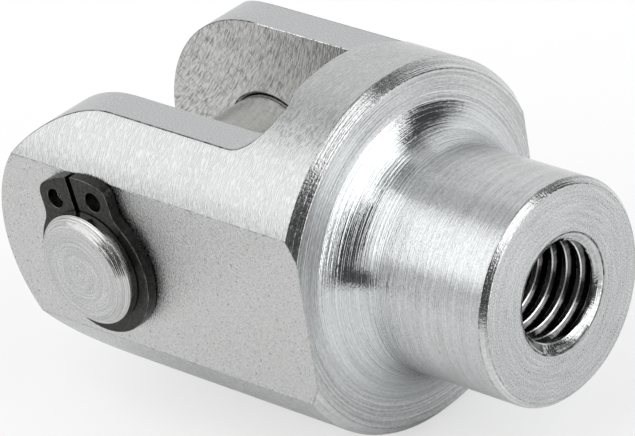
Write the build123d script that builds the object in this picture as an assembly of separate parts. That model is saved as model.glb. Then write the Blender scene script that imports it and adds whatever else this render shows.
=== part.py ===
from build123d import *
import os
from math import cos, radians, sin, tan

# Rod clevis: a turned fork head with a tapped neck, a clevis pin across its two ears,
# and a retaining ring in a groove at each end of the pin.
# Millimetres. The origin is where the pin's axis crosses the bar's axis: +X runs along
# the bar to the tapped neck, Y along the pin with the rear ear at +Y, and +Z is up.

# Turned bar and neck
body_diameter = 31.75
neck_diameter = 19.05
pin_to_neck_end = 38.0
pin_to_flange = 23.05
rim_chamfer_length = 0.95
rim_chamfer_depth = 0.82
neck_fillet_radius = 4.0
flange_flat_least = 0.5  # flat kept on the flange, outside the neck fillet
neck_end_chamfer = 0.5
bar_allowance = 2.0  # bar stock beyond the round end, milled away

# Fork ears and slot
across_flats = 27.9
ear_height = 24.0
ear_flat_length = 13.3  # from the pin's axis to the start of the run-out
runout_radius = 3.5
runout_nose_radius = 2.5
runout_tip_inset = 3.0  # how far the run-out reaches past the slot's wall
slot_width = 14.2
pin_to_slot_root = 16.15
slot_corner_radius = 0.4

# Tapped hole, through from the neck to the slot
thread_drill_diameter = 8.5
thread_mouth_diameter = 10.1
thread_mouth_angle = 120.0

# Clevis pin
pin_diameter = 10.0
pin_running_clearance = 0.05  # radial, in the ears
pin_hole_chamfer = 0.2
pin_end_chamfer = 0.75
pin_end_land = 0.85  # full diameter between groove and end chamfer

# Retaining rings
ring_thickness = 1.0
ring_side_gap = 0.15  # between ring and ear
ring_groove_play = 0.05  # each side of the ring in its groove
ring_groove_depth = 0.2
ring_bore_clearance = 0.02  # radial, over the groove's floor
ring_band_width = 1.21
ring_eccentricity = 0.22  # the band is widest opposite the lugs
ring_gap = 0.6
ring_lean = 10.0  # degrees from +Z towards the round end
lug_length = 3.23  # from the ring's bore to the lugs' tips
lug_half_width = 4.1
lug_corner_radius = 1.3
lug_root_radius = 2.0
lug_hole_diameter = 1.72
lug_hole_setback = 1.53  # from the ring's bore to the holes' centres
lug_hole_half_angle = 21.4

# Sizes that follow
body_radius = body_diameter / 2
neck_radius = neck_diameter / 2
ear_half_height = ear_height / 2
half_flats = across_flats / 2
half_slot = slot_width / 2
clear_of_bar = body_diameter  # reach of the cutting shapes past the bar
pin_radius = pin_diameter / 2
flange_radius = body_radius - rim_chamfer_depth
neck_blend_radius = min(neck_fillet_radius, flange_radius - neck_radius - flange_flat_least)
nose_radius = min(runout_nose_radius, runout_radius)
groove_radius = pin_radius - ring_groove_depth
ring_bore_radius = groove_radius + ring_bore_clearance
ring_outer_radius = ring_bore_radius + ring_band_width
lug_tip_radius = ring_bore_radius + lug_length
lug_hole_pitch_radius = ring_bore_radius + lug_hole_setback
groove_inner_y = half_flats + ring_side_gap - ring_groove_play
groove_outer_y = groove_inner_y + ring_thickness + 2 * ring_groove_play
pin_half_length = groove_outer_y + pin_end_land + pin_end_chamfer


def turned_bar():
    """The bar with its rim chamfer, flange face, neck fillet and neck, turned about X."""
    rim_start = pin_to_flange - rim_chamfer_length
    fillet_end = pin_to_flange + neck_blend_radius
    chamfer_start = pin_to_neck_end - neck_end_chamfer
    bar_end = -ear_half_height - bar_allowance
    fillet_centre = (fillet_end, neck_radius + neck_blend_radius)
    with BuildSketch(Plane.XZ) as section:
        with BuildLine():
            Polyline(
                (pin_to_flange, neck_radius + neck_blend_radius),
                (pin_to_flange, flange_radius),
                (rim_start, body_radius),
                (bar_end, body_radius),
                (bar_end, 0),
                (pin_to_neck_end, 0),
                (pin_to_neck_end, neck_radius - neck_end_chamfer),
                (chamfer_start, neck_radius),
                (fillet_end, neck_radius),
            )
            CenterArc(fillet_centre, neck_blend_radius, 180, 90)
        make_face()
    return revolve(section.sketch, Axis.X)


def ear_waste():
    """What is milled off outside one ear, rear side: round end, flats and concave run-outs."""
    shoulder_x = ear_flat_length + runout_radius
    runout_centre = (ear_flat_length, ear_half_height + runout_radius)
    with BuildSketch(Plane.XZ) as outline:
        with BuildLine():
            CenterArc((0, 0), ear_half_height, 90, 90)
            Line((0, ear_half_height), (ear_flat_length, ear_half_height))
            CenterArc(runout_centre, runout_radius, 270, 90)
            Polyline(
                (shoulder_x, ear_half_height + runout_radius),
                (shoulder_x, clear_of_bar),
                (-clear_of_bar, clear_of_bar),
                (-clear_of_bar, 0),
                (-ear_half_height, 0),
            )
        make_face()
        mirror(about=Plane.XZ)
    tip_y = half_slot - runout_tip_inset
    waste = extrude(outline.sketch, amount=-(clear_of_bar - tip_y))
    waste = Pos(0, tip_y, 0) * waste
    nose = waste.edges().filter_by(GeomType.CIRCLE).filter_by_position(Axis.Y, tip_y, tip_y)
    nose = nose.filter_by(lambda edge: abs(edge.radius - runout_radius) < runout_radius / 100)
    return fillet(nose, nose_radius)


def slot():
    """The straight slot between the ears, open at the round end."""
    length = clear_of_bar + pin_to_slot_root
    block = Pos(pin_to_slot_root - length / 2, 0, 0) * Box(length, slot_width, 2 * clear_of_bar)
    root_corners = block.edges().filter_by(Axis.Z).group_by(Axis.X)[-1]
    return fillet(root_corners, slot_corner_radius)


def tapped_hole():
    """Drilled hole for the thread, countersunk at the neck's end and at the slot's root."""
    drill_radius = thread_drill_diameter / 2
    mouth_radius = thread_mouth_diameter / 2
    mouth_depth = (mouth_radius - drill_radius) / tan(radians(thread_mouth_angle / 2))
    overrun = 1.0
    mouth_rise = overrun * tan(radians(thread_mouth_angle / 2))
    with BuildSketch(Plane.XZ) as section:
        with BuildLine():
            Polyline(
                (pin_to_slot_root - overrun, 0),
                (pin_to_slot_root - overrun, mouth_radius + mouth_rise),
                (pin_to_slot_root + mouth_depth, drill_radius),
                (pin_to_neck_end - mouth_depth, drill_radius),
                (pin_to_neck_end + overrun, mouth_radius + mouth_rise),
                (pin_to_neck_end + overrun, 0),
                close=True,
            )
        make_face()
    return revolve(section.sketch, Axis.X)


def pin_hole():
    """The pin's hole through both ears, with a small chamfer at each of the four ear faces."""
    hole_radius = pin_radius + pin_running_clearance
    hole = Rot(90, 0, 0) * Cylinder(hole_radius, 2 * clear_of_bar)
    edge_radius = hole_radius + pin_hole_chamfer
    for face_y in (-half_flats, -half_slot, half_slot, half_flats):
        for side in (-1, 1):
            cone = Cone(edge_radius, hole_radius, pin_hole_chamfer)
            hole += Pos(0, face_y, 0) * Rot(-90 * side, 0, 0) * Pos(0, 0, pin_hole_chamfer / 2) * cone
    return hole


def fork_head():
    head = turned_bar()
    waste = ear_waste()
    head -= waste
    head -= mirror(waste, Plane.XZ)
    flat_block = Box(4 * clear_of_bar, clear_of_bar, 2 * clear_of_bar)
    for side in (-1, 1):
        head -= Pos(0, side * (half_flats + clear_of_bar / 2), 0) * flat_block
    head -= slot()
    head -= tapped_hole()
    head -= pin_hole()
    return head


def clevis_pin():
    """Plain pin with a chamfer and a ring groove at each end."""
    rim_y = pin_half_length - pin_end_chamfer
    with BuildSketch(Plane.XY) as section:
        with BuildLine():
            Polyline(
                (0, 0),
                (pin_radius, 0),
                (pin_radius, groove_inner_y),
                (groove_radius, groove_inner_y),
                (groove_radius, groove_outer_y),
                (pin_radius, groove_outer_y),
                (pin_radius, rim_y),
                (pin_radius - pin_end_chamfer, pin_half_length),
                (0, pin_half_length),
                close=True,
            )
        make_face()
        mirror(about=Plane.XZ)
    return revolve(section.sketch, Axis.Y)


def retaining_ring():
    """External ring for the pin's rear end: a band that widens away from two drilled lugs."""
    hole_angle = radians(lug_hole_half_angle)
    hole_x = lug_hole_pitch_radius * sin(hole_angle)
    hole_z = lug_hole_pitch_radius * cos(hole_angle)
    with BuildSketch() as lugs:
        Circle(lug_tip_radius)
        Rectangle(2 * lug_half_width, lug_tip_radius, align=(Align.CENTER, Align.MIN), mode=Mode.INTERSECT)
        fillet(lugs.vertices().group_by(Axis.Y)[-1], lug_corner_radius)
    with BuildSketch() as outline:
        with Locations((0, -ring_eccentricity)):
            Circle(ring_outer_radius)
        add(lugs.sketch)
        roots = outline.vertices().filter_by(lambda v: abs(v.Y) < ring_outer_radius and v.Y > 0)
        fillet(roots.group_by(Axis.Y)[0], lug_root_radius)
        Circle(ring_bore_radius, mode=Mode.SUBTRACT)
        Rectangle(ring_gap, 2 * lug_tip_radius, align=(Align.CENTER, Align.MIN), mode=Mode.SUBTRACT)
        with Locations((-hole_x, hole_z), (hole_x, hole_z)):
            Circle(lug_hole_diameter / 2, mode=Mode.SUBTRACT)
    ring = extrude(outline.sketch, ring_thickness)
    ring_outer_y = half_flats + ring_side_gap + ring_thickness
    return Pos(0, ring_outer_y, 0) * Rot(0, -ring_lean, 0) * Rot(90, 0, 0) * ring


os.makedirs("parts", exist_ok=True)
rear_ring = retaining_ring()
nodes = {
    "fork_head": fork_head(),
    "clevis_pin": clevis_pin(),
    "front_retaining_ring": mirror(rear_ring, Plane.XZ),
    "rear_retaining_ring": rear_ring,
}
for node, solid in nodes.items():
    export_step(solid, f"parts/{node}.step")
    print(node, "volume", round(solid.volume, 1), "faces", len(solid.faces()))
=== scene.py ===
import bpy, bmesh, math
from mathutils import Matrix, Vector


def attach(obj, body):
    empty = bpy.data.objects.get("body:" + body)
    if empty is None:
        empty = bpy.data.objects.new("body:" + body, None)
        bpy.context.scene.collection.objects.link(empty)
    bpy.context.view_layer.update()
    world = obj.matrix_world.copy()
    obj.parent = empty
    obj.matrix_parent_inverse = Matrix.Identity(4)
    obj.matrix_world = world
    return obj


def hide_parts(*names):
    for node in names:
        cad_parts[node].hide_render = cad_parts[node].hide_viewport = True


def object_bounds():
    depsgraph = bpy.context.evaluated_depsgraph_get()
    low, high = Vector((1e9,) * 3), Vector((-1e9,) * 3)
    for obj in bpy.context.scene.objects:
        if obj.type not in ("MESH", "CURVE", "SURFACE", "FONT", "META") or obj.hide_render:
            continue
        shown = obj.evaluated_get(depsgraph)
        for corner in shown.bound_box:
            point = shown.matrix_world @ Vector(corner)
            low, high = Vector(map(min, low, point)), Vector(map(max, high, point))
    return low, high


# Rod clevis. Each piece is a merged copy of its solid with its edges rounded, and stands for it.
# The fork head's copy also gets its thread, cut into the drilled hole.

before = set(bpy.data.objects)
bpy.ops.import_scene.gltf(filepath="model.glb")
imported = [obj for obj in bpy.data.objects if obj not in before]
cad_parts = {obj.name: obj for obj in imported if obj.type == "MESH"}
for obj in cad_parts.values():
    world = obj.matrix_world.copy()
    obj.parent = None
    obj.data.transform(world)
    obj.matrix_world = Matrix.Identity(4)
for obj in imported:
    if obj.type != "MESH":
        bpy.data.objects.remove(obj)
cadBox = [list(corner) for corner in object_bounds()]
mm = 0.001
print("frame loaded:", ", ".join(sorted(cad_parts)))


# Camera: place, angles in degrees and lens in millimetres that lay the solids over the photo's edges
camera = {
    "place": (273.905 * mm, -243.544 * mm, 194.676 * mm),
    "yaw": 47.157,
    "pitch": 28.554,
    "roll": 9.567,
    "lens": 279.514,
    "sensor": 36.0,
    "nearest": 0.01,
    "farthest": 20.0,
}

def makeCamera(spec):
    yaw, pitch, roll = (math.radians(spec[k]) for k in ("yaw", "pitch", "roll"))
    back = Vector((math.sin(yaw) * math.cos(pitch), -math.cos(yaw) * math.cos(pitch), math.sin(pitch)))
    level = Vector((math.cos(yaw), math.sin(yaw), 0))
    lift = back.cross(level)
    right = math.cos(roll) * level - math.sin(roll) * lift
    up = math.sin(roll) * level + math.cos(roll) * lift
    matrix = Matrix((right, up, back)).transposed().to_4x4()
    matrix.translation = Vector(spec["place"])
    data = bpy.data.cameras.new("camera")
    data.sensor_fit = "HORIZONTAL"
    data.sensor_width = spec["sensor"]
    data.lens = spec["lens"]
    data.clip_start = spec["nearest"]
    data.clip_end = spec["farthest"]
    cam = bpy.data.objects.new("camera", data)
    bpy.context.scene.collection.objects.link(cam)
    cam.matrix_world = matrix
    bpy.context.scene.camera = cam

makeCamera(camera)
bpy.context.scene.view_settings.view_transform = "Standard"
print("camera placed")


# Node helpers: each adds one node, sets or links its inputs, and gives back one output socket
def put(tree, kind, inputs=None, output=0, **settings):
    node = tree.nodes.new("ShaderNode" + kind)
    for key, value in settings.items():
        setattr(node, key, value)
    for key, value in (inputs or {}).items():
        if isinstance(value, bpy.types.NodeSocket):
            tree.links.new(value, node.inputs[key])
        else:
            node.inputs[key].default_value = value
    return node.outputs[output] if len(node.outputs) else None

def mathNode(tree, operation, a, b=0.0):
    return put(tree, "Math", {0: a, 1: b}, operation=operation)

def ramp(tree, value, fromLow, fromHigh, toLow=0.0, toHigh=1.0, smooth=False):
    kind = "SMOOTHSTEP" if smooth else "LINEAR"
    inputs = {"Value": value, "From Min": fromLow, "From Max": fromHigh, "To Min": toLow, "To Max": toHigh}
    return put(tree, "MapRange", inputs, interpolation_type=kind)

def blendValue(tree, factor, low, high):
    inputs = {0: factor, 2: low, 3: high}  # the node's inputs 1 and from 4 on are for vectors and colours
    return put(tree, "Mix", inputs, data_type="FLOAT")


# Studio: pale light all round, with soft boxes that are brighter and flags that are darker
studio = {
    "sky": (1.0, 1.0, 1.0),
    "brightness": 1.0,  # where there is no card
    "behindObject": 1.0,  # what the camera sees past the object
    "fadeIn": 0.05,  # a card has its full strength where its middle's direction gives at least this cosine
    "leastCosine": 0.01,  # and nothing is divided by less than this
    # middle's azimuth and elevation, half width and half height, turn, soft edge, all degrees; brightness.
    # A card covers the ones above it.
    "cards": {
        "top box": (-111, 60, 28, 20, 0, 8, 1.75),
        "zenith flag": (-2, 74, 32, 11, 44, 6, 0.22),
        "crown flag": (176, 73, 12, 10, 0, 8, 0.55),
        "left flag": (178, 52, 12, 9, 0, 10, 0.62),
        "rear flag": (130, 2, 16, 18, 0, 14, 0.91),
        "dark surround": (-1, 24, 67, 40, 0, 10, 0.08),
        "upper flag": (52, 46, 13, 14, 0, 8, 0.1),
        "far flag": (-77.5, -1, 33, 8, 0, 8, 0.1),
        "faint flag": (-129, 7.5, 14, 4.5, 0, 6, 0.72),
        "side box": (-120, 34.5, 31, 16, 0, 9, 1.72),
        "back flag": (110, 60, 22, 11, 0, 12, 0.7),
        "front box": (11, 16.5, 25, 43, 9, 5, 2.1),
    },
}

def makeWorld(spec):
    world = bpy.data.worlds.new("studio")
    bpy.context.scene.world = world
    world.use_nodes = True
    tree = world.node_tree
    tree.nodes.clear()
    direction = put(tree, "TexCoord", output="Generated")
    light = spec["brightness"]
    for azimuth, elevation, wide, high, turn, soft, brightness in spec["cards"].values():
        az, el, lean = (math.radians(v) for v in (azimuth, elevation, turn))
        middle = Vector((math.cos(az) * math.cos(el), math.sin(az) * math.cos(el), math.sin(el)))
        level = Vector((-math.sin(az), math.cos(az), 0))
        lift = middle.cross(level)
        across = math.cos(lean) * level + math.sin(lean) * lift
        upward = math.cos(lean) * lift - math.sin(lean) * level
        ahead = put(tree, "VectorMath", {0: direction, 1: middle}, output="Value", operation="DOT_PRODUCT")
        divisor = mathNode(tree, "MAXIMUM", ahead, spec["leastCosine"])
        mask = ramp(tree, ahead, 0.0, spec["fadeIn"])
        for axis, half in ((across, wide), (upward, high)):
            side = put(tree, "VectorMath", {0: direction, 1: axis}, output="Value", operation="DOT_PRODUCT")
            offset = mathNode(tree, "ABSOLUTE", mathNode(tree, "DIVIDE", side, divisor))
            inner, outer = (math.tan(math.radians(half + s * soft / 2)) for s in (-1, 1))
            mask = mathNode(tree, "MULTIPLY", mask, ramp(tree, offset, inner, outer, 1.0, 0.0, smooth=True))
        light = blendValue(tree, mask, light, brightness)
    camRay = put(tree, "LightPath", output="Is Camera Ray")
    strength = blendValue(tree, camRay, light, spec["behindObject"])
    background = put(tree, "Background", {0: (*spec["sky"], 1), 1: strength})
    put(tree, "OutputWorld", {0: background})

makeWorld(studio)

floor = {
    "centre": (13 * mm, 0),
    "radius": 75 * mm,
    "sides": 96,
    "gap": 0.1 * mm,  # under the object's lowest point
    "colour": (0.97, 0.97, 0.97),
    "background": (1.0, 1.0, 1.0),
    "backgroundStrength": 1.0,
    # share of the background seen in place of the shaded floor: about the centre, far from the centre,
    # and the distances between which it goes from one to the other
    "metalSees": (0.05, 0.55, 17 * mm, 31 * mm),
    "cameraSees": (0.6, 1.0, 45 * mm, 75 * mm),
}

def makeFloor(spec):
    middle = (*spec["centre"], cadBox[0][2] - spec["gap"])
    bm = bmesh.new()
    bmesh.ops.create_circle(bm, cap_ends=True, segments=spec["sides"], radius=spec["radius"])
    bmesh.ops.translate(bm, verts=bm.verts, vec=middle)
    mesh = bpy.data.meshes.new("floor")
    bm.to_mesh(mesh)
    bm.free()
    obj = bpy.data.objects.new("floor", mesh)
    bpy.context.scene.collection.objects.link(obj)
    paint = bpy.data.materials.new("floorPaint")
    paint.use_nodes = True
    tree = paint.node_tree
    tree.nodes.clear()
    point = put(tree, "TexCoord", output="Object")
    away = put(tree, "VectorMath", {0: point, 1: middle}, output="Value", operation="DISTANCE")
    share = 0.0
    for rays, sees in (("Is Camera Ray", "cameraSees"), ("Is Glossy Ray", "metalSees")):
        near, far, start, end = spec[sees]
        seen = ramp(tree, away, start, end, near, far, smooth=True)
        kind = put(tree, "LightPath", output=rays)
        share = mathNode(tree, "ADD", share, mathNode(tree, "MULTIPLY", kind, seen))
    shaded = put(tree, "BsdfDiffuse", {0: (*spec["colour"], 1)})
    white = put(tree, "Emission", {0: (*spec["background"], 1), 1: spec["backgroundStrength"]})
    put(tree, "OutputMaterial", {0: put(tree, "MixShader", {0: share, 1: shaded, 2: white})})
    mesh.materials.append(paint)

makeFloor(floor)
print("studio lit")


# Finishes. Each is bare metal whose level, roughness and height come from layers of noise. A layer lies
# straight on the object or along the marks of one of the turnings below. Its scale is per millimetre, or
# per radian along a turning's marks. Its window is the part of the noise that is spread from -1 to 1.
# Level, roughness and depth, in millimetres, are how far that moves each of them.
grain = {
    "fineness": 0.6,
    "window": (0.3, 0.7),  # where a layer names none
    "acrossMarks": 0.25,  # a quarter turn, so that highlights spread across the marks
    # axis, centre in millimetres, and the share of the radius that counts as length, so that faces square
    # to the axis get rings too
    "turnings": {
        "bar": ("X", (0, 0, 0), -0.8),
        "countersink": ("X", (0, 0, 0), 0.8),
        "pin": ("Y", (0, 0, 0), -0.8),
        "cutter": ("Y", (-39, 0, 32), -0.8),
        "return": ("Y", (-39, 0, -32), -0.8),
    },
}

# Gives the point as it lies along a turning's marks, and the direction of the marks there
def turnAbout(tree, point, axis, centre, lean):
    moved = put(tree, "VectorMath", {0: point, 1: centre}, operation="SUBTRACT")
    parts = tree.nodes.new("ShaderNodeSeparateXYZ")
    tree.links.new(moved, parts.inputs[0])
    x, y, z = parts.outputs
    along, u = (x, y) if axis == "X" else (mathNode(tree, "ABSOLUTE", y), x)
    squares = [mathNode(tree, "MULTIPLY", v, v) for v in (u, z)]
    radius = mathNode(tree, "SQRT", mathNode(tree, "ADD", *squares))
    cosine, sine = (mathNode(tree, "DIVIDE", v, radius) for v in (u, z))
    across = mathNode(tree, "ADD", along, mathNode(tree, "MULTIPLY", radius, lean))  # along the profile
    unrolled = put(tree, "CombineXYZ", {0: across, 1: cosine, 2: sine})
    back = mathNode(tree, "MULTIPLY", cosine, -1.0)
    spoke = {1: sine, 2: back} if axis == "X" else {0: sine, 2: back}
    tangent = put(tree, "VectorTransform", {0: put(tree, "CombineXYZ", spoke)},
                  vector_type="VECTOR", convert_from="OBJECT", convert_to="WORLD")
    return unrolled, tangent

def sumUp(tree, start, terms):
    for value, weight in terms:
        start = mathNode(tree, "ADD", start, mathNode(tree, "MULTIPLY", value, weight))
    return start

def makeFinish(name, spec):
    material = bpy.data.materials.new(name)
    material.use_nodes = True
    tree = material.node_tree
    tree.nodes.clear()
    metres = put(tree, "TexCoord", output="Object")
    point = put(tree, "VectorMath", {0: metres, "Scale": 1 / mm}, operation="SCALE")
    places = {"straight": point}
    level, roughness, height = [], [], []
    for layer in spec["layers"].values():
        along = layer["along"]
        if along not in places:
            places[along], marks = turnAbout(tree, point, *grain["turnings"][along])
        stretched = put(tree, "VectorMath", {0: places[along], 1: layer["scale"]}, operation="MULTIPLY")
        noise = put(tree, "TexNoise", {"Vector": stretched, "Scale": 1.0, "Detail": layer["detail"],
                                       "Roughness": grain["fineness"]})
        noise = ramp(tree, noise, *layer.get("window", grain["window"]), -1.0, 1.0)
        level.append((noise, layer.get("level", 0.0)))
        roughness.append((noise, layer.get("roughness", 0.0)))
        height.append((noise, layer.get("depth", 0.0)))
    shade = sumUp(tree, spec["level"], [t for t in level if t[1]])
    colour = put(tree, "VectorMath", {0: spec["tint"], "Scale": shade}, operation="SCALE")
    relief = sumUp(tree, 0.0, [t for t in height if t[1]])
    inputs = {"Base Color": colour, "Metallic": 1.0}
    inputs["Roughness"] = sumUp(tree, spec["roughness"], [t for t in roughness if t[1]])
    inputs["Normal"] = put(tree, "Bump", {"Height": relief, "Distance": mm})
    if "anisotropic" in spec:  # such a finish has one turning
        inputs["Tangent"] = marks
        inputs["Anisotropic"] = spec["anisotropic"]
        inputs["Anisotropic Rotation"] = grain["acrossMarks"]
    put(tree, "OutputMaterial", {0: put(tree, "BsdfPrincipled", inputs)})
    return material


# What every piece goes through
mergeDistance = 0.0005 * mm

def mergedCopy(node):
    bm = bmesh.new()
    bm.from_mesh(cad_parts[node].data)
    bmesh.ops.remove_doubles(bm, verts=bm.verts, dist=mergeDistance)
    return bm

def newObject(name, bm):
    mesh = bpy.data.meshes.new(name)
    bm.to_mesh(mesh)
    bm.free()
    obj = bpy.data.objects.new(name, mesh)
    bpy.context.scene.collection.objects.link(obj)
    return obj

def bake(obj):
    graph = bpy.context.evaluated_depsgraph_get()
    mesh = bpy.data.meshes.new_from_object(obj.evaluated_get(graph))
    obj.modifiers.clear()
    obj.data = mesh

def roundEdges(bm, spec):
    mark = bm.faces.layers.int.new("rounded")  # read when the piece is dressed
    sharp = [e for e in bm.edges if len(e.link_faces) == 2 and e.calc_face_angle() > spec["sharpEdge"]]
    made = bmesh.ops.bevel(bm, geom=sharp, affect="EDGES", offset=spec["edgeRound"], offset_type="OFFSET",
                           segments=1, profile=0.5, material=-1, clamp_overlap=False)
    for face in made["faces"]:
        face[mark] = 1

def takeNormals(obj, node, group=None):
    transfer = obj.modifiers.new("normals", "DATA_TRANSFER")
    transfer.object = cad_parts[node]
    transfer.use_loop_data = True
    transfer.data_types_loops = {"CUSTOM_NORMAL"}
    transfer.loop_mapping = "POLYINTERP_NEAREST"
    if group:
        transfer.vertex_group = group
    bake(obj)

def dress(obj, finishes, chooseFace):
    keys = list(finishes)
    for key in keys:
        obj.data.materials.append(makeFinish(obj.name + "_" + key, finishes[key]))
    rounded = obj.data.attributes["rounded"]
    marks = [item.value for item in rounded.data]
    obj.data.attributes.remove(rounded)
    for face, mark in zip(obj.data.polygons, marks):
        face.material_index = keys.index(chooseFace(face.center / mm, face.normal, mark))
    print(obj.name, "faces by finish:", {key: sum(f.material_index == i for f in obj.data.polygons)
                                         for i, key in enumerate(keys)})


# Tap: the screw that is cut out of the drilled hole, and leaves the thread's ridges
tap = {
    "pitch": 1.5 * mm,
    # half width of a ridge and the radius where it is that wide, from its crest out to the thread's root,
    # in millimetres. The first is inside the drilled hole.
    "section": ((0.12, 4.18), (0.27, 4.33), (0.656, 5.0)),
    "ridgePlace": 33.06 * mm,  # a ridge of the thread, on the rear side
    "turns": 18,
    "turnsBefore": 14,  # of them, how many lie before that ridge, towards the slot
    "steps": 96,  # in each turn
    "mergeDistance": 0.001 * mm,
}

def makeTap(spec):
    bm = bmesh.new()
    pitch = spec["pitch"]
    start = spec["ridgePlace"] - spec["turnsBefore"] * pitch
    outline = []
    for turn in range(spec["turns"]):
        ridge = start + turn * pitch
        for side in (-1, 1):
            for half, radius in spec["section"][::side]:
                outline.append((ridge + side * half * mm, radius * mm))
    outline = [(outline[0][0], 0.0), *outline, (outline[-1][0], 0.0)]
    verts = [bm.verts.new((x, r, 0)) for x, r in outline]
    for a, b in zip(verts, verts[1:]):
        bm.edges.new((a, b))
    bmesh.ops.spin(bm, geom=bm.verts[:] + bm.edges[:], cent=(0, 0, 0), axis=(1, 0, 0), angle=math.tau,
                   dvec=(pitch / spec["steps"], 0, 0), steps=spec["steps"], use_merge=False)
    bmesh.ops.remove_doubles(bm, verts=bm.verts, dist=spec["mergeDistance"])
    bmesh.ops.holes_fill(bm, edges=[e for e in bm.edges if e.is_boundary], sides=0)
    bmesh.ops.recalc_face_normals(bm, faces=bm.faces)
    print("tap open edges:", sum(e.is_boundary for e in bm.edges))
    return newObject("tap", bm)

fork = {
    "edgeRound": 0.08 * mm,
    "sharpEdge": math.radians(18),  # an edge that turns more than this is rounded
    "creaseAngle": math.radians(25),  # and an edge of the thread that turns more than this stays crisp
    # what lies outside this radius, or before this place on the bar, takes its shading from the solid
    "threadRadius": 5.02 * mm,
    "threadStart": 16.1 * mm,
    # where one finish ends and the next begins, in millimetres, as forkFace reads them
    "holeStart": 15.7,
    "holeRadius": 5.06,
    "slotMouthEnd": 16.6,
    "neckMouthStart": 37.5,
    "mouthRadius": 5.2,
    "mouthFacing": 0.3,  # how far a face turns along the bar, from 0 to 1
    # the thread's crests, between these radii, get a painted highlight
    "paintedCrestRadii": (4.262, 4.34),
    "slotEdgeEnd": 17,
    "flatEdge": 13.8,
    "slotEdge": 7.2,
    # where the painted highlight on the slot's top edges starts, along the bar and in height
    "paintedHighlightStart": 0,
    "paintedHighlightHeight": 11,
    "endStart": 37.9,
    "squareOn": 0.9,  # the same, and also for how far a flat's face turns across the bar
    "rimStart": 22.05,
    "rimEnd": 23.04,
    "rimRadius": 15,
    "neckChamferStart": 37.45,
    "neckChamferRadius": 9,
    "filletEnd": 27.05,
    "filletRadius": 12.7,
    "flatPlace": 13.85,
    "slotWall": 7.13,
    "slotRoot": 16.2,
    "bodyRadius": 15.8,
}

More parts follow.
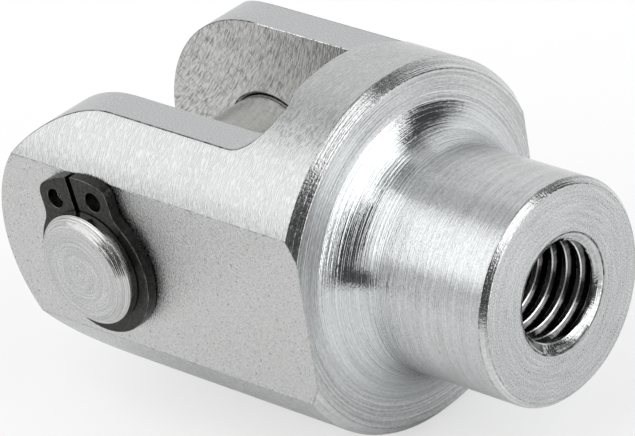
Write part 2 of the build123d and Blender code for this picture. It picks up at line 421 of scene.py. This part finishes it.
forkFinishes = {
    "body": {
        "tint": (0.985, 1.0, 0.995), "level": 0.527, "roughness": 0.25, "anisotropic": 0.2,
        "layers": {
            "dashes": {"along": "bar", "scale": (9, 24, 24), "detail": 1, "window": (0.4, 0.6),
                       "level": 0.05, "roughness": 0.05, "depth": 0.007},
            "grooves": {"along": "bar", "scale": (3, 3, 3), "detail": 2,
                        "level": 0.02, "roughness": 0.04, "depth": 0.003},
            "patches": {"along": "bar", "scale": (0.3, 3, 3), "detail": 2,
                        "level": 0.02, "roughness": 0.04},
        },
    },
    "flange": {
        "tint": (0.98, 1.0, 1.005), "level": 0.58, "roughness": 0.4, "anisotropic": 0.6,
        "layers": {
            "grooves": {"along": "bar", "scale": (2.6, 0.6, 0.6), "detail": 1,
                        "level": 0.03, "depth": 0.008},
            "fine": {"along": "bar", "scale": (9, 1.0, 1.0), "detail": 1,
                     "level": 0.14, "roughness": 0.05, "depth": 0.013},
            "dashes": {"along": "bar", "scale": (9, 36, 36), "detail": 2,
                       "level": 0.10, "roughness": 0.04, "depth": 0.005},
        },
    },
    "fillet": {
        "tint": (0.97, 1.0, 1.02), "level": 0.6, "roughness": 0.09, "anisotropic": 0.4,
        "layers": {
            "grooves": {"along": "bar", "scale": (2.2, 0.6, 0.6), "detail": 1,
                        "level": 0.03, "depth": 0.008},
            "fine": {"along": "bar", "scale": (9, 0.9, 0.9), "detail": 1,
                     "level": 0.11, "roughness": 0.03, "depth": 0.008},
            "dashes": {"along": "bar", "scale": (8, 30, 30), "detail": 2,
                       "level": 0.07, "roughness": 0.03, "depth": 0.003},
        },
    },
    "neck": {
        "tint": (0.975, 1.0, 1.005), "level": 0.55, "roughness": 0.17, "anisotropic": 0.5,
        "layers": {
            "grooves": {"along": "bar", "scale": (2.2, 0.7, 0.7), "detail": 1,
                        "level": 0.03, "depth": 0.002},
            "fine": {"along": "bar", "scale": (10, 1.2, 1.2), "detail": 1,
                     "level": 0.06, "roughness": 0.05, "depth": 0.004},
            "dashes": {"along": "bar", "scale": (10, 15, 15), "detail": 2,
                       "level": 0.06, "roughness": 0.05, "depth": 0.005},
            "grain": {"along": "straight", "scale": (8, 8, 8), "detail": 1,
                      "level": 0.07, "roughness": 0.03},
        },
    },
    "chamfer": {
        "tint": (0.985, 1.0, 1.005), "level": 0.57, "roughness": 0.18, "anisotropic": 0.3,
        "layers": {
            "strokes": {"along": "bar", "scale": (1.2, 60, 60), "detail": 1,
                        "level": 0.05, "roughness": 0.04, "depth": 0.003},
            "fine": {"along": "bar", "scale": (8, 1.5, 1.5), "detail": 1,
                     "level": 0.12, "depth": 0.005},
            "dashes": {"along": "bar", "scale": (8, 50, 50), "detail": 2,
                       "level": 0.06, "roughness": 0.04, "depth": 0.004},
        },
    },
    "end": {
        "tint": (0.98, 1.0, 1.01), "level": 0.46, "roughness": 0.32, "anisotropic": 0.3,
        "layers": {
            "rings": {"along": "bar", "scale": (9, 2, 2), "detail": 2,
                      "level": 0.08, "roughness": 0.03, "depth": 0.005},
            "grain": {"along": "straight", "scale": (8.5, 8.5, 8.5), "detail": 2,
                      "level": 0.2, "roughness": 0.05, "depth": 0.007},
            "pits": {"along": "straight", "scale": (5, 5, 5), "detail": 1, "window": (0.62, 0.7),
                     "level": -0.05},
        },
    },
    "flat": {
        "tint": (1.0, 1.0, 1.0), "level": 0.465, "roughness": 0.27,
        "layers": {
            "grain": {"along": "straight", "scale": (10, 10, 7), "detail": 2,
                      "level": 0.08, "roughness": 0.05, "depth": 0.012},
            "pits": {"along": "straight", "scale": (4, 4, 4), "detail": 1, "window": (0.66, 0.71),
                     "level": -0.11},
        },
    },
    "ear": {
        "tint": (0.985, 1.0, 1.01), "level": 0.52, "roughness": 0.34,
        "layers": {
            "grain": {"along": "straight", "scale": (7, 7, 7), "detail": 2,
                      "level": 0.12, "roughness": 0.03, "depth": 0.004},
        },
    },
    # milled slot walls with real sweeps and scratches; their level is set darker as painted shade inside
    # the slot
    "slot": {
        "tint": (1.0, 1.0, 0.98), "level": 0.378, "roughness": 0.34,
        "layers": {
            "sweeps": {"along": "cutter", "scale": (8, 60, 60), "detail": 1, "window": (0.42, 0.58),
                       "level": 0.09, "roughness": 0.04, "depth": 0.006},
            "scratches": {"along": "cutter", "scale": (9, 36, 36), "detail": 0, "window": (0.6, 0.66),
                          "level": -0.08},
            "crossing": {"along": "return", "scale": (9, 36, 36), "detail": 0, "window": (0.67, 0.72),
                         "level": -0.06},
        },
    },
    # painted shade: the thread's flanks are coloured nearly black, for the dark inside of the bore
    "flankPaintedShade": {
        "tint": (1.0, 1.0, 1.0), "level": 0.135, "roughness": 0.14,
        "layers": {
            "chatter": {"along": "bar", "scale": (6, 8, 8), "detail": 2,
                        "level": 0.06, "roughness": 0.05, "depth": 0.003},
        },
    },
    # painted highlight: the thread's crests are coloured brighter than the rest of the steel, for the light
    # they catch
    "crestPaintedHighlight": {
        "tint": (0.99, 1.0, 1.0), "level": 0.85, "roughness": 0.3,
        "layers": {
            "chatter": {"along": "bar", "scale": (3, 8, 8), "detail": 2,
                        "level": 0.12, "roughness": 0.05, "depth": 0.002},
        },
    },
    "mouth": {
        "tint": (0.99, 1.0, 1.0), "level": 0.5, "roughness": 0.14,
        "layers": {
            "rings": {"along": "countersink", "scale": (7, 1.5, 1.5), "detail": 1,
                      "level": 0.12, "roughness": 0.04, "depth": 0.006},
            "notches": {"along": "countersink", "scale": (1.2, 14, 14), "detail": 2,
                        "level": 0.07, "depth": 0.008},
        },
    },
    "edge": {
        "tint": (0.99, 1.0, 1.0), "level": 0.45, "roughness": 0.16,
        "layers": {
            "nicks": {"along": "straight", "scale": (2.6, 2.6, 2.6), "detail": 3,
                      "level": 0.15, "depth": 0.01},
        },
    },
    # painted highlight: the slot's rounded top edges are coloured lighter than the steel, for the light
    # line they catch
    "topEdgePaintedHighlight": {
        "tint": (1.0, 1.0, 1.0), "level": 0.68, "roughness": 0.25,
        "layers": {
            "nicks": {"along": "straight", "scale": (3.2, 3.2, 3.2), "detail": 2,
                      "level": 0.5, "depth": 0.01},
        },
    },
    # painted shade: the rounded edges beside the slot and at the thread's mouth on the neck are coloured
    # dark, for the shade along a burred edge
    "burrPaintedShade": {
        "tint": (1.0, 1.0, 1.0), "level": 0.18, "roughness": 0.3,
        "layers": {
            "nicks": {"along": "straight", "scale": (1.8, 1.8, 1.8), "detail": 3,
                      "level": 0.17, "depth": 0.01},
        },
    },
}

# The finish of one face: x is along the bar from the pin, y across it, z up, and r out from its middle
def forkFace(centre, normal, rounded):
    x, y, z = centre
    r = math.hypot(y, z)
    # the rounded edges at the thread's mouth on the neck get the painted shade
    if rounded and x > fork["neckMouthStart"] and r < fork["mouthRadius"]:
        return "burrPaintedShade"
    if x > fork["holeStart"] and r < fork["holeRadius"]:
        countersunk = x < fork["slotMouthEnd"] or x > fork["neckMouthStart"]
        if countersunk and abs(normal.x) > fork["mouthFacing"]:
            return "mouth"
        # in the thread, the crests get a painted highlight and the flanks a painted shade
        inner, outer = fork["paintedCrestRadii"]
        return "crestPaintedHighlight" if inner < r < outer else "flankPaintedShade"
    if rounded:
        if x < fork["slotEdgeEnd"] and abs(y) < fork["flatEdge"]:
            # by the slot, the rounded top edges get a painted highlight and the other rounded edges a
            # painted shade
            onTop = x > fork["paintedHighlightStart"] and z > fork["paintedHighlightHeight"]
            return "topEdgePaintedHighlight" if onTop and abs(y) < fork["slotEdge"] else "burrPaintedShade"
        return "edge"
    if x > fork["endStart"] and normal.x > fork["squareOn"]:
        return "end"
    if x > fork["rimStart"]:
        if x < fork["rimEnd"] and r > fork["rimRadius"]:
            return "chamfer"
        if x > fork["neckChamferStart"] and r > fork["neckChamferRadius"]:
            return "chamfer"
        if x < fork["filletEnd"]:
            return "flange" if r > fork["filletRadius"] else "fillet"
        return "neck"
    if abs(y) > fork["flatPlace"] and abs(normal.y) > fork["squareOn"]:
        return "flat"
    if abs(y) < fork["slotWall"] and x < fork["slotRoot"]:
        return "slot"
    return "ear" if r < fork["bodyRadius"] else "body"

def makeForkHead(spec):
    bm = mergedCopy("fork_head")
    print("fork head open edges:", sum(not e.is_manifold for e in bm.edges))
    roundEdges(bm, spec)
    obj = newObject("tapped_fork_head", bm)
    tool = makeTap(tap)
    cut = obj.modifiers.new("thread", "BOOLEAN")
    cut.operation = "DIFFERENCE"
    cut.solver = "EXACT"
    cut.object = tool
    bake(obj)
    bpy.data.objects.remove(tool)
    obj.data.shade_smooth()
    obj.data.set_sharp_from_angle(angle=spec["creaseAngle"])
    outer = obj.vertex_groups.new(name="outer")
    outer.add([v.index for v in obj.data.vertices if math.hypot(v.co.y, v.co.z) > spec["threadRadius"]
               or v.co.x < spec["threadStart"]], 1.0, "REPLACE")
    takeNormals(obj, "fork_head", "outer")
    dress(obj, forkFinishes, forkFace)
    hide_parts("fork_head")
    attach(obj, "fork")

makeForkHead(fork)
print("fork head tapped")


# Pin and rings: copies of their solids with the edges rounded
pin = {
    "edgeRound": 0.05 * mm,
    "sharpEdge": math.radians(25),
    # a face that turns to the pin's end by more than these has the end's or the chamfer's finish
    "endFacing": 0.98,
    "chamferFacing": 0.35,
}

pinFinishes = {
    "side": {
        "tint": (1.0, 1.0, 0.98), "level": 0.51, "roughness": 0.15, "anisotropic": 0.3,
        "layers": {
            "grinding": {"along": "pin", "scale": (8, 6, 6), "detail": 2,
                         "level": 0.08, "roughness": 0.04, "depth": 0.003},
        },
    },
    "end": {
        "tint": (0.99, 1.0, 0.995), "level": 0.47, "roughness": 0.33,
        "layers": {
            "rings": {"along": "pin", "scale": (6, 0.8, 0.8), "detail": 1,
                      "level": 0.07, "roughness": 0.03, "depth": 0.003},
            "grain": {"along": "straight", "scale": (8, 8, 8), "detail": 2,
                      "level": 0.18, "roughness": 0.03, "depth": 0.003},
            "dents": {"along": "straight", "scale": (1.6, 1.6, 1.6), "detail": 1, "window": (0.7, 0.76),
                      "level": -0.06, "depth": -0.006},
        },
    },
    "chamfer": {
        "tint": (1.0, 1.0, 0.995), "level": 0.52, "roughness": 0.15, "anisotropic": 0.4,
        "layers": {
            "grooves": {"along": "pin", "scale": (7, 0.8, 0.8), "detail": 1,
                        "level": 0.12, "roughness": 0.04, "depth": 0.016},
            "dashes": {"along": "pin", "scale": (8, 10, 10), "detail": 2,
                       "level": 0.05, "roughness": 0.04, "depth": 0.003},
        },
    },
}

def pinFace(centre, normal, rounded):
    if abs(normal.y) > pin["endFacing"]:
        return "end"
    return "chamfer" if abs(normal.y) > pin["chamferFacing"] else "side"

ring = {
    "edgeRound": 0.05 * mm,
    "sharpEdge": math.radians(30),
}

ringFinishes = {
    "black": {
        "tint": (1.0, 0.98, 0.95), "level": 0.042, "roughness": 0.34,
        "layers": {
            "mottle": {"along": "straight", "scale": (3.5, 3.5, 3.5), "detail": 3,
                       "level": 0.022, "roughness": 0.08, "depth": 0.006},
        },
    },
    # painted highlight: the rings' rounded edges are coloured lighter than the black, for the light line
    # along them
    "edgePaintedHighlight": {
        "tint": (1.0, 0.99, 0.97), "level": 0.13, "roughness": 0.28,
        "layers": {
            "highlightBreaks": {"along": "straight", "scale": (1.5, 1.5, 1.5), "detail": 3,
                     "level": 0.09, "roughness": 0.05},
        },
    },
}

def ringFace(centre, normal, rounded):
    return "edgePaintedHighlight" if rounded else "black"

def roundedCopy(node, name, spec):
    bm = mergedCopy(node)
    roundEdges(bm, spec)
    obj = newObject(name, bm)
    obj.data.shade_smooth()
    takeNormals(obj, node)
    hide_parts(node)
    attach(obj, "pin")
    return obj

pinCopy = roundedCopy("clevis_pin", "turned_clevis_pin", pin)
dress(pinCopy, pinFinishes, pinFace)
for side in ("front", "rear"):
    ringCopy = roundedCopy(f"{side}_retaining_ring", f"{side}_lug_ring", ring)
    dress(ringCopy, ringFinishes, ringFace)
print("pin and rings finished")
